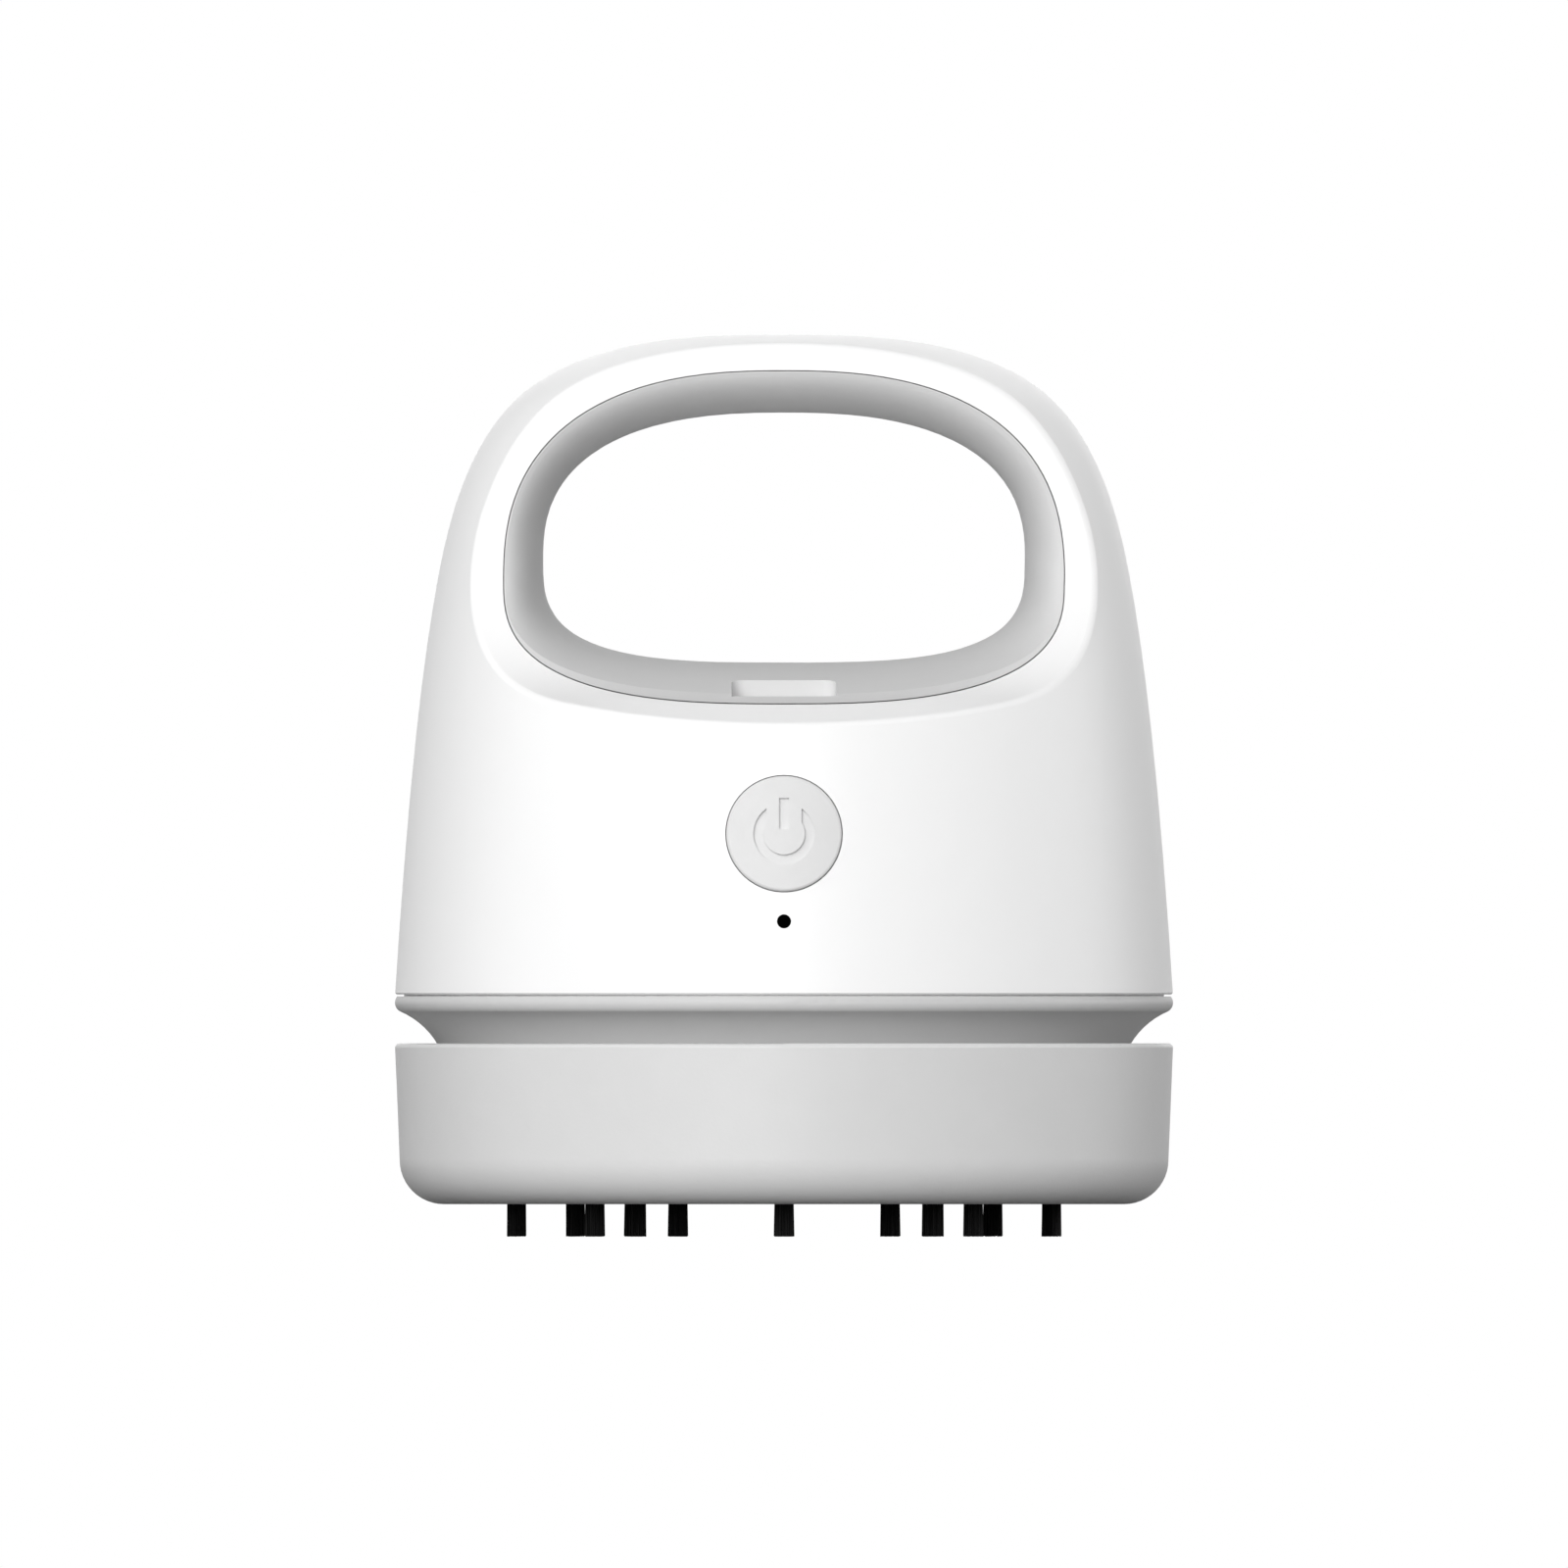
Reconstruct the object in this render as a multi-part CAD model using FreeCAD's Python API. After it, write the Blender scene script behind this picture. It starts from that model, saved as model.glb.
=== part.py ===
import FreeCAD, Part
import math
import os

# A small round desk vacuum cleaner with a see-through handle, a pull-off dust cup and bristles below.
# Sizes are in millimetres. X runs across, the front faces -Y, Z is up and the bristle tips stand on z = 0.

V = FreeCAD.Vector
ORIGIN = V(0, 0, 0)
UP = V(0, 0, 1)
BACK = V(0, 1, 0)

# Outer shape of the housing
body_radius = 43.05
seam_z = 26.6
top_z = 99.8
wall = 2.2
foot_lean = 0.06
seam_bevel = 0.2
seam_groove_height = 0.2
seam_groove_depth = 1.0
# Share of the radius and share of the height at each point of the dome's outline, from the foot to the top
dome_shape = (
    (1.0, 0.0), (0.98, 0.17), (0.937, 0.44), (0.894, 0.617),
    (0.811, 0.795), (0.684, 0.905), (0.445, 0.976), (0.0, 1.0),
)
outline_steps = 12

# Hollowed front and rear of the handle
slab_half_depth = 15.2
scoop_radius = 22.0
scoop_rise = 21.6
ramp_fall = 15.0
handle_edge_round = 0.8

# Handle opening and its liner: a throat that widens to a rim on each face
rim_side_room = 11.95
rim_top_room = 3.9
rim_bottom_z = 58.9
rim_middle_rise = 13.65
throat_side_step = 4.45
throat_top_step = 4.7
throat_floor_step = 4.65
throat_middle_rise = 11.5
oval_upper_power = 2.5
rim_lower_power = 2.75
throat_lower_power = 3.2
oval_steps = 32
liner_wall = 1.6
liner_lip = 0.2
liner_floor_lip = 1.15
liner_gap = 0.12
liner_flange = 1.0
liner_flange_thickness = 0.8
# Angle that the liner's wall turns through from the throat to the rim, at the sides and top and at the floor
flare_turn = 82.0
flare_floor_turn = 20.0
flare_steps = 5
flare_overrun = 0.03

# Recess in the front of the liner's floor
notch_width = 11.6
notch_front_y = -34.0
notch_rear_y = -22.0
notch_floor_rise = 0.9
notch_round = 1.5
notch_wall = 1.4

# Ring under the housing, with the neck that the dust cup hangs on
lip_height = 1.65
lip_inset = 0.25
cove_radius = 8.9
cove_drop = 9.85
neck_inset = 5.95
neck_wall = 2.6
fan_wall_extra = 0.8
deck_drop = 4.0
deck_thickness = 2.4
tongue_thickness = 1.0
tongue_height = 2.4
tongue_gap = 0.1
exhaust_slots = 28
exhaust_slot_width = 4.2
exhaust_slot_height = 3.0
exhaust_slot_rise = 0.3

# Seal between the neck and the cup
seal_section_radius = 0.9
seal_rise = 2.0
seal_gap = 0.05

# Dust cup, and the collar fixed in it that slides over the neck
cup_drop = 5.2
cup_bottom_z = 3.6
cup_taper = 0.5
cup_round = 4.9
cup_wall = 2.0
cup_rim_round = 0.5
cup_floor = 1.4
cup_inner_round = 2.4
collar_gap = 0.15
collar_thickness = 1.6
collar_reach = 1.2
shelf_rise = 0.9
shelf_thickness = 1.2
shelf_gap = 0.03
rest_ribs = 8
rest_rib_thickness = 1.4
rest_rib_length = 3.4
rest_gap = 0.05

# Inlet tube, which sits in the bowl's floor and takes the screws that hold the brush plate
inlet_radius = 9.0
inlet_wall = 1.5
inlet_rise = 2.95
inlet_fit_gap = 0.05
inlet_flange_width = 0.8
inlet_flange_thickness = 1.0
inlet_lug_room = 3.0
inlet_lug_height = 2.55
inlet_seat_gap = 0.03

# Brush plate and bristles
plate_inset = 10.05
plate_thickness = 1.8
plate_gap = 0.1
tuft_rows = 8
tufts_per_row = 3
tuft_inner_margin = 6.1
tuft_outer_margin = 3.4
tuft_radius = 1.05
tuft_seat = 1.3
tuft_gap = 0.05
plate_screws = 4
plate_screw_turn = 38.0

# Filter
filter_room = 3.8
filter_frame_inset = 0.2
filter_frame_wall = 1.7
filter_gap = 0.15
filter_grid = 1.0
filter_bars = 6
filter_bar_width = 1.5
filter_hub_radius = 4.0
filter_pleats = 18
filter_paper = 0.5
filter_top_room = 0.3

# Fan
shroud_thickness = 1.0
shroud_eye_radius = 10.0
fan_clearance = 0.5
fan_top_room = 0.9
fan_tip_room = 7.7
blade_height = 3.0
blade_count = 9
blade_thickness = 0.9
blade_sweep = 46.0
fan_disc = 1.0
fan_hub_radius = 5.0
fan_eye_radius = 9.0

# Motor
motor_radius = 12.2
motor_wall = 0.6
motor_height = 23.0
motor_face = 1.0
motor_gasket_thickness = 0.8
motor_nose_radius = 3.1
motor_nose_height = 1.8
motor_nose_gap = 0.3
end_cap_thickness = 2.0
end_cap_plug = 1.0
bush_radius = 2.3
bush_length = 3.2
shaft_radius = 1.0
shaft_gap = 0.03
magnet_thickness = 2.2
magnet_length = 15.0
magnet_bottom_offset = 4.0
magnet_split = 8.0
magnet_gap = 0.03
air_gap = 0.6
core_length = 12.0
core_slots = 5
core_slot_width = 1.6
coil_radius = 2.0
coil_circle = 5.4
coil_overhang = 1.6
coil_gap = 0.03
commutator_radius = 3.2
commutator_length = 2.0
carbon_length = 3.0
carbon_width = 1.8
carbon_gap = 0.05
motor_screw_circle = 8.0

# Power button and the switch behind it
button_rise = 18.0
button_radius = 6.4
button_gap = 0.1
button_proud = 0.35
button_edge_round = 0.3
button_travel = 0.5
button_flange = 1.0
flange_room = 0.3
button_flange_extra = 0.9
button_stem_radius = 2.2
button_stem_length = 0.65
mark_radius = 3.4
mark_width = 1.1
mark_depth = 0.5
mark_opening = 70.0
switch_side = 6.0
switch_depth = 3.4
plunger_radius = 1.7
plunger_reach = 1.2
plunger_seat = 1.6
plunger_gap = 0.05
touch_gap = 0.03

# Status light
light_drop = 9.7
light_radius = 0.75
light_gap = 0.03
led_side = 2.0
led_height = 1.0

# Control board
board_thickness = 1.2
board_half_width = 12.0
board_below_button = 13.6
board_above_button = 8.8
board_post_radius = 2.3
board_post_x = 9.2
board_post_inset = 2.8

# Battery cell behind the motor, and its cradle
cell_rear_inset = 10.7
cell_motor_room = 1.85
cell_end_room = 1.77
cell_rise = 20.0
cell_gap = 0.1
cell_cap_radius = 2.6
cell_cap_height = 0.6
cradle_end_step = 5.5
cradle_plate = 1.6
cradle_motor_room = 2.8
cradle_rear_step = 0.55
cradle_arm_drop = 3.0
cradle_screw_inset = 2.8
cradle_screw_back = 3.0

# Charging board and port
charge_board_room = 0.4
charge_side_room = 1.2
charge_front_reach = 5.0
charge_rear_inset = 4.85
charge_post_radius = 2.0
charge_post_inset = 3.4
port_width = 8.94
port_height = 3.26
port_depth = 7.3
port_shell = 0.35
port_recess = 1.2
port_gap = 0.15
port_tongue = 0.7

# Screws: thread radius, length, head radius, head height
base_screw = (1.2, 9.0, 2.3, 1.5)
small_screw = (0.9, 3.8, 1.7, 1.0)
screw_hole_gap = 0.05
screw_head_gap = 0.15
screw_cross_width = 0.5
screw_cross_depth = 0.5
base_screws = 4
boss_inset = 11.55
boss_radius = 3.0
boss_height = 12.0
boss_rib = 1.6
boss_gap = 0.05

# Pins that line up the two halves of the housing
half_gap = 0.02
pin_radius = 1.2
pin_reach = 2.5
pin_gap = 0.05
pin_boss_radius = 2.8
pin_boss_length = 8.0
pin_rises = (7.4, 25.4)

# Leads
lead_radius = 0.6
lead_bend = 1.8

far = 60.0

# Sizes of the handle that follow from those above
scoop_top_z = rim_bottom_z + scoop_rise
rim_half_width = body_radius - rim_side_room
rim_top_z = top_z - rim_top_room
throat_half_width = rim_half_width - throat_side_step
throat_top_z = rim_top_z - throat_top_step
throat_bottom_z = rim_bottom_z + throat_floor_step
rim_middle_z = rim_bottom_z + rim_middle_rise
throat_middle_z = throat_bottom_z + throat_middle_rise
notch_floor_z = rim_bottom_z + notch_floor_rise

# Levels and radii from the seam down to the neck's end
cove_centre_z = seam_z - cove_drop
deck_bottom_z = seam_z - deck_drop
deck_top_z = deck_bottom_z + deck_thickness
blade_top_z = deck_bottom_z - fan_top_room - fan_disc
blade_bottom_z = blade_top_z - blade_height
shroud_top_z = blade_bottom_z - fan_clearance
shroud_bottom_z = shroud_top_z - shroud_thickness
exhaust_slot_bottom_z = shroud_top_z + exhaust_slot_rise
neck_bottom_z = shroud_bottom_z - filter_room
filter_frame_bottom_z = neck_bottom_z + filter_frame_inset
neck_radius = body_radius - neck_inset
neck_bore = neck_radius - neck_wall
fan_bore = neck_bore - fan_wall_extra
fan_radius = fan_bore - fan_tip_room

# Dust cup, brush plate and seal
cup_top_z = seam_z - cup_drop
cup_floor_z = cup_bottom_z + plate_thickness + plate_gap / 2
cup_floor_top_z = cup_floor_z + cup_floor
inlet_top_z = cup_floor_top_z + inlet_rise
tube_outer_radius = inlet_radius + inlet_wall
seal_z = neck_bottom_z + seal_rise
shelf_bottom_z = seal_z + shelf_rise
collar_bottom_z = neck_bottom_z - collar_reach
collar_radius = neck_radius + collar_gap
seal_ring_radius = collar_radius - seal_gap - seal_section_radius
plate_radius = body_radius - plate_inset
tuft_first_radius = tube_outer_radius + tuft_inner_margin
tuft_last_radius = plate_radius - tuft_outer_margin
tuft_pitch = (tuft_last_radius - tuft_first_radius) / (tufts_per_row - 1)
plate_screw_circle = tube_outer_radius + inlet_lug_room
inlet_seat_z = cup_floor_top_z + inlet_seat_gap

# Motor, button, light and control board
can_bottom_z = deck_top_z + motor_gasket_thickness
can_top_z = can_bottom_z + motor_height
button_z = seam_z + button_rise
light_z = button_z - light_drop
board_bottom_z = button_z - board_below_button
board_top_z = button_z + board_above_button

# Battery cell between the motor, the housing and the screw bosses, and what stands round it
base_screw_circle = body_radius - boss_inset
boss_top_z = deck_top_z + boss_height
pin_heights = tuple(seam_z + rise for rise in pin_rises)
cell_rear_y = body_radius - cell_rear_inset
cell_radius = (cell_rear_y - motor_radius - cell_motor_room) / 2
cell_y = cell_rear_y - cell_radius
cell_z = deck_top_z + cell_rise
cell_length = 2 * (base_screw_circle * math.sqrt(0.5) - boss_radius - cell_end_room)
cradle_half_width = cell_length / 2 - cradle_end_step
cradle_front_y = motor_radius + cradle_motor_room
cradle_rear_y = cell_rear_y - cradle_rear_step
cradle_arm_top_z = cell_z - cradle_arm_drop
cradle_screw_x = cradle_half_width - cradle_screw_inset
cradle_screw_y = cradle_front_y + cradle_screw_back
charge_board_z = seam_z + tongue_height + charge_board_room
charge_board_half_width = cradle_half_width - cradle_plate - charge_side_room
charge_post_x = charge_board_half_width - charge_post_inset
charge_post_y = (cradle_front_y + cradle_rear_y) / 2
charge_board_front_y = charge_post_y - charge_front_reach
charge_board_rear_y = body_radius - charge_rear_inset


def cylinder(radius, z0, z1, x=0.0, y=0.0):
    return Part.makeCylinder(radius, z1 - z0, V(x, y, z0))


def cylinder_y(radius, y0, y1, x, z):
    return Part.makeCylinder(radius, y1 - y0, V(x, y0, z), BACK)


def ring(outer, inner, z0, z1):
    return cylinder(outer, z0, z1).cut(cylinder(inner, z0 - 1, z1 + 1))


def block(x0, x1, y0, y1, z0, z1):
    return Part.makeBox(x1 - x0, y1 - y0, z1 - z0, V(x0, y0, z0))


def turned(shape, degrees):
    copy = shape.copy()
    copy.rotate(ORIGIN, UP, degrees)
    return copy


def moved(shape, x, y, z):
    copy = shape.copy()
    copy.translate(V(x, y, z))
    return copy


def around(shape, count, first=0.0):
    return [turned(shape, first + 360.0 * i / count) for i in range(count)]


def polar(radius, degrees, z=0.0):
    angle = math.radians(degrees)
    return V(radius * math.cos(angle), radius * math.sin(angle), z)


def joined(first, others):
    return first.fuse(others).removeSplitter()


def line(a, b):
    return Part.LineSegment(a, b).toShape()


def arc(a, b, c):
    return Part.Arc(a, b, c).toShape()


def spun(edges):
    face = Part.Face(Part.Wire(edges))
    return face.revolve(ORIGIN, UP, 360)


def screw(size):
    """A screw that points up, with the underside of its head at z = 0."""
    thread, length, head, height = size
    body = cylinder(thread, 0, length).fuse(cylinder(head, -height, 0)).removeSplitter()
    half = screw_cross_width / 2
    slot = block(-head * 0.6, head * 0.6, -half, half, -height, -height + screw_cross_depth)
    return body.cut(slot).cut(turned(slot, 90))


def screw_hole(size, depth=None):
    thread, length, _, _ = size
    return cylinder(thread + screw_hole_gap, -far, (depth or length) + 1)


def head_hole(size, sink):
    return cylinder(size[2] + screw_head_gap, -far, sink)


def smooth_curve(points, first_run, last_run):
    """A curve through the points that leaves and arrives along the given unit directions."""
    curve = Part.BSplineCurve()
    curve.interpolate(Points=points, InitialTangent=first_run, FinalTangent=last_run, Scale=False)
    return curve


def dome_curve(inset):
    """Outline of the dome in the XZ plane, moved inwards by inset."""
    height = top_z - seam_z
    foot_run = V(-foot_lean, 0, 1).normalize()
    points = [V(body_radius * r, 0, seam_z + height * z) for r, z in dome_shape]
    curve = smooth_curve(points, foot_run, V(-1, 0, 0))
    if inset == 0:
        return curve
    first, last = curve.FirstParameter, curve.LastParameter
    shifted = []
    for i in range(outline_steps + 1):
        t = first + (last - first) * i / outline_steps
        run = curve.tangent(t)[0]
        shifted.append(curve.value(t) + V(-run.z, 0, run.x) * inset)
    shifted[-1].x = 0
    return smooth_curve(shifted, foot_run, V(-1, 0, 0))


def dome_radius(z, inset=0.0):
    curve = dome_curve(inset)
    low, high = curve.FirstParameter, curve.LastParameter
    for _ in range(30):
        middle = (low + high) / 2
        if curve.value(middle).z < z:
            low = middle
        else:
            high = middle
    return curve.value(low).x


def dome(inset, floor_z):
    curve = dome_curve(inset)
    foot = curve.value(curve.FirstParameter)
    top = curve.value(curve.LastParameter)
    centre = V(0, 0, floor_z)
    edges = [curve.toShape(), line(top, centre)]
    if floor_z < foot.z:
        corner = V(foot.x, 0, floor_z)
        return spun(edges + [line(centre, corner), line(corner, foot)])
    return spun(edges + [line(centre, foot)])


def scoop(inset):
    """What is cut off the front and rear of the dome to leave the handle, grown into it by inset."""
    radius = scoop_radius + inset
    centre_y = slab_half_depth + scoop_radius
    turn = math.radians(90 - ramp_fall)
    fall = math.radians(ramp_fall)
    top = V(0, slab_half_depth - inset, top_z + far)
    start = V(0, slab_half_depth - inset, scoop_top_z)
    middle = V(0, centre_y - radius * math.cos(turn / 2), scoop_top_z - radius * math.sin(turn / 2))
    end = V(0, centre_y - radius * math.cos(turn), scoop_top_z - radius * math.sin(turn))
    out = end + V(0, math.cos(fall), -math.sin(fall)) * far
    corner = V(0, out.y, top.z)
    edges = [line(top, start), arc(start, middle, end), line(end, out), line(out, corner), line(corner, top)]
    rear = Part.Face(Part.Wire(edges)).extrude(V(2 * far, 0, 0))
    rear.translate(V(-far, 0, 0))
    front = rear.mirror(ORIGIN, BACK)
    return [front, rear]


def scoop_depth(z):
    """Distance from the middle plane to the handle's face at height z."""
    drop = scoop_top_z - z
    if drop <= 0:
        return slab_half_depth
    turn = math.radians(90 - ramp_fall)
    end_drop = scoop_radius * math.sin(turn)
    if drop <= end_drop:
        return slab_half_depth + scoop_radius - math.sqrt(scoop_radius ** 2 - drop ** 2)
    end_depth = slab_half_depth + scoop_radius * (1 - math.cos(turn))
    return end_depth + (drop - end_drop) / math.tan(math.radians(ramp_fall))


def oval_point(half_width, top, middle, bottom, lower_power, step):
    """A point of an oval that is widest at the height middle and squarer below it."""
    angle = 2 * math.pi * step / oval_steps
    across, rise = math.cos(angle), math.sin(angle)
    power = oval_upper_power if rise >= 0 else lower_power
    height = top - middle if rise >= 0 else middle - bottom
    size = (abs(across) ** power + abs(rise) ** power) ** (-1 / power)
    return V(half_width * across * size, 0, middle + height * rise * size)


def rim_point(step, inset, floor_inset):
    half_width = rim_half_width - inset
    bottom = rim_bottom_z + floor_inset
    return oval_point(half_width, rim_top_z - inset, rim_middle_z, bottom, rim_lower_power, step)


def throat_point(step, grow):
    half_width = throat_half_width + grow
    bottom = throat_bottom_z - grow
    return oval_point(half_width, throat_top_z + grow, throat_middle_z, bottom, throat_lower_power, step)


def loop(points):
    """A smooth closed wire through the points."""
    curve = Part.BSplineCurve()
    curve.interpolate(Points=points, PeriodicFlag=True)
    return Part.Wire([curve.toShape()])


def rim_block(gap):
    """The outline of the liner's rim, drawn straight through the handle and smaller by gap."""
    outline = loop([rim_point(step, gap, gap) + V(0, -far, 0) for step in range(oval_steps)])
    return Part.Face(outline).extrude(V(0, 2 * far, 0))


def flare_point(step, share, grow):
    """A point of the opening's wall, at a share of the way from the throat to the front or rear rim."""
    throat = throat_point(step, grow)
    rim = rim_point(step, liner_lip - grow, liner_floor_lip - grow)
    reach = scoop_depth(rim_point(step, liner_lip, liner_floor_lip).z)
    fall = min(0.0, math.sin(2 * math.pi * step / oval_steps))
    turn = math.radians(flare_turn + (flare_floor_turn - flare_turn) * fall ** 2)
    widening = (1 - math.cos(turn * share)) / (1 - math.cos(turn))
    return throat + (rim - throat) * widening + V(0, reach * math.sin(turn * share) / math.sin(turn), 0)


def flared_hole(grow):
    """The finger opening: an oval throat whose wall turns outwards to both faces of the handle."""
    sections = []
    for i in range(-flare_steps, flare_steps + 1):
        share = (1 + flare_overrun) * i / flare_steps
        sections.append([flare_point(step, share, grow) for step in range(oval_steps)])
    faces = Part.makeLoft([loop(points) for points in sections], False, False).Faces
    for points, y in ((sections[0], -far), (sections[-1], far)):
        outer = loop([V(p.x, y, p.z) for p in points])
        faces += Part.makeLoft([loop(points), outer], False, True).Faces
        faces.append(Part.Face(outer))
    shell = Part.Shell(faces)
    shell.sewShape()
    solid = Part.Solid(shell)
    if solid.Volume < 0:
        solid.reverse()
    return solid


def housing_outside():
    body = dome(0, seam_z).cut(scoop(0)).Solids[0]
    return body.makeFillet(handle_edge_round, handle_edges(body))


def seam_groove():
    """The narrow groove between the housing's foot and the ring under it, with a bevel above it."""
    depth_r = body_radius - seam_groove_depth
    foot_z = seam_z + seam_groove_height
    corners = [(depth_r, seam_z - 1), (depth_r, foot_z), (body_radius - seam_bevel, foot_z),
               (body_radius + 1, foot_z + seam_bevel + 1), (body_radius + 1, seam_z - 1)]
    points = [V(r, 0, z) for r, z in corners]
    return spun([line(a, b) for a, b in zip(points, points[1:] + points[:1])])


def handle_edges(body):
    """The edges where the handle's hollowed faces meet the dome."""
    edges = []
    for edge in body.Edges:
        kinds = {type(face.Surface) for face in body.ancestorsOfType(edge, Part.Face)}
        if Part.SurfaceOfRevolution in kinds and len(kinds) == 2 and edge.BoundBox.ZMin > seam_z + wall:
            edges.append(edge)
    return edges


def housing_halves():
    shell = housing_outside()
    inside = dome(wall, seam_z - 1)
    inside = inside.cut(scoop(wall))
    shell = shell.cut(inside).cut(rim_block(0)).cut(seam_groove())
    front = shell.common(block(-far, far, -far, -half_gap, 0, top_z + 1))
    rear = shell.common(block(-far, far, half_gap, far, 0, top_z + 1))
    return front, rear


def half_fittings(front_side):
    """Screw bosses and pin bosses inside one half of the housing."""
    within = dome(wall / 2, seam_z)
    side = -1 if front_side else 1
    pieces = []
    for angle in (45, 135):
        place = polar(base_screw_circle, side * angle)
        boss = cylinder(boss_radius, deck_top_z + boss_gap, boss_top_z, place.x, place.y)
        rib_z = seam_z + tongue_height + tongue_gap
        rib = block(base_screw_circle, far, -boss_rib / 2, boss_rib / 2, rib_z, boss_top_z)
        rib = turned(rib, side * angle).common(within)
        pieces.append(boss.fuse(rib))
    for x_side in (-1, 1):
        for z in pin_heights:
            x = x_side * (dome_radius(z, wall) - pin_boss_radius / 2)
            y0, y1 = sorted((side * half_gap, side * pin_boss_length))
            pieces.append(cylinder_y(pin_boss_radius, y0, y1, x, z).common(within))
    return pieces


def pin_places():
    return [(s * (dome_radius(z, wall) - pin_boss_radius / 2), z) for s in (-1, 1) for z in pin_heights]


def base_screw_places():
    return [polar(base_screw_circle, 45 + 360.0 * i / base_screws) for i in range(base_screws)]


def cut_base_screws(shape):
    for place in base_screw_places():
        shape = shape.cut(moved(screw_hole(base_screw), place.x, place.y, base_screw_seat_z()))
    return shape


def base_screw_seat_z():
    return deck_bottom_z + base_screw[3] / 2


def board_screw_places():
    return [(s * board_post_x, z) for s in (-1, 1) for z in (board_bottom_z + board_post_inset,
                                                             board_top_z - board_post_inset)]


def board_screws_shape(make):
    """The control board's screws or their holes: they point to the front, heads on the board's rear face."""
    shapes = []
    for x, z in board_screw_places():
        piece = make(small_screw)
        piece.rotate(ORIGIN, V(1, 0, 0), 90)
        shapes.append(moved(piece, x, board_front_y() + board_thickness, z))
    return shapes


def front_housing(shell):
    shell = joined(shell, half_fittings(True))
    within = dome(wall / 2, seam_z)
    posts = []
    for x, z in board_screw_places():
        posts.append(cylinder_y(board_post_radius, -far, board_front_y(), x, z).common(within))
    pins = [cylinder_y(pin_radius, -pin_boss_length / 2, pin_reach, x, z) for x, z in pin_places()]
    shell = joined(shell, posts + pins)
    shell = cut_base_screws(shell)
    shell = shell.cut(board_screws_shape(screw_hole))
    shell = shell.cut(cylinder_y(button_radius + button_gap, -far, switch_front_y(), 0, button_z))
    return shell.cut(cylinder_y(light_radius + light_gap, -far, board_front_y(), 0, light_z))


def rear_housing(shell):
    shell = joined(shell, half_fittings(False))
    shell = cut_base_screws(shell)
    for x, z in pin_places():
        shell = shell.cut(cylinder_y(pin_radius + pin_gap, 0, pin_reach + pin_gap, x, z))
    return shell.cut(port_outline(port_gap, 0, far))


def liner_flanges():
    """A thin flange behind each face of the handle, which holds the liner between the housing's halves."""
    depth = wall + liner_gap
    outline = rim_block(-liner_flange).common(dome(depth, seam_z))
    layers = zip(scoop(depth), scoop(depth + liner_flange_thickness))
    return [outline.common(deeper.cut(face)) for face, deeper in layers]


def grip_liner():
    plug = housing_outside().common(rim_block(liner_gap))
    tube = plug.common(flared_hole(liner_wall))
    tube = joined(tube, liner_flanges())
    bed = plug.common(notch_block(notch_wall)).cut(flared_hole(liner_wall))
    return tube.cut(flared_hole(0)).fuse(bed).cut(notch_block(0))


def notch_block(grow):
    """The recess in the floor, or with grow the wall around it."""
    half = notch_width / 2 + grow
    z0 = notch_floor_z - 2 * grow
    shape = block(-half, half, notch_front_y - grow, notch_rear_y + grow, z0, throat_bottom_z + 5 - 4 * grow)
    upright = [e for e in shape.Edges if abs(e.tangentAt(e.FirstParameter).z) > 0.9]
    return shape.makeFillet(notch_round + grow, upright)


def base_ring():
    """Lip, hollow groove, neck and the deck that carries the motor."""
    lip_bottom = seam_z - lip_height
    centre_r = neck_radius + cove_radius
    rise = lip_bottom - cove_centre_z
    cove_top_r = centre_r - math.sqrt(cove_radius ** 2 - rise ** 2)
    half_turn = math.asin(rise / cove_radius) / 2
    middle_r = centre_r - cove_radius * math.cos(half_turn)
    middle = V(middle_r, 0, cove_centre_z + cove_radius * math.sin(half_turn))
    tongue_r = dome_radius(seam_z + tongue_height, wall) - tongue_gap
    tongue_inner = tongue_r - tongue_thickness
    before = [(body_radius - lip_inset, seam_z), (tongue_r, seam_z),
              (tongue_r, seam_z + tongue_height), (tongue_inner, seam_z + tongue_height),
              (tongue_inner, deck_top_z), (0, deck_top_z), (0, deck_bottom_z), (fan_bore, deck_bottom_z),
              (fan_bore, shroud_top_z), (neck_bore, shroud_top_z), (neck_bore, neck_bottom_z),
              (neck_radius, neck_bottom_z), (neck_radius, cove_centre_z)]
    points = [V(r, 0, z) for r, z in before]
    cove_top = V(cove_top_r, 0, lip_bottom)
    edges = [line(a, b) for a, b in zip(points, points[1:])]
    edges.append(arc(points[-1], middle, cove_top))
    edges.append(arc(cove_top, V(body_radius, 0, seam_z - lip_height / 2), points[0]))
    shape = spun(edges)
    shape = shape.cut(seal_groove())
    shape = shape.cut(cylinder(motor_nose_radius + motor_nose_gap, 0, far))
    slot_top = exhaust_slot_bottom_z + exhaust_slot_height
    half = exhaust_slot_width / 2
    slot = block(fan_bore - 1, far, -half, half, exhaust_slot_bottom_z, slot_top)
    shape = shape.cut(around(slot, exhaust_slots))
    for place in base_screw_places():
        hole = screw_hole(base_screw).fuse(head_hole(base_screw, 0))
        shape = shape.cut(moved(hole, place.x, place.y, base_screw_seat_z()))
    for x, y in motor_screw_places() + cradle_screw_places():
        hole = screw_hole(small_screw).fuse(head_hole(small_screw, 0))
        shape = shape.cut(moved(hole, x, y, small_screw_seat_z()))
    return shape


def small_screw_seat_z():
    return deck_bottom_z + small_screw[3]


def motor_screw_places():
    return [(0, motor_screw_circle), (0, -motor_screw_circle)]


def cradle_screw_places():
    return [(cradle_screw_x, cradle_screw_y), (-cradle_screw_x, cradle_screw_y)]


def seal_groove():
    half = seal_section_radius + seal_gap
    return ring(neck_radius + 1, seal_ring_radius - half, seal_z - half, seal_z + half)


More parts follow.
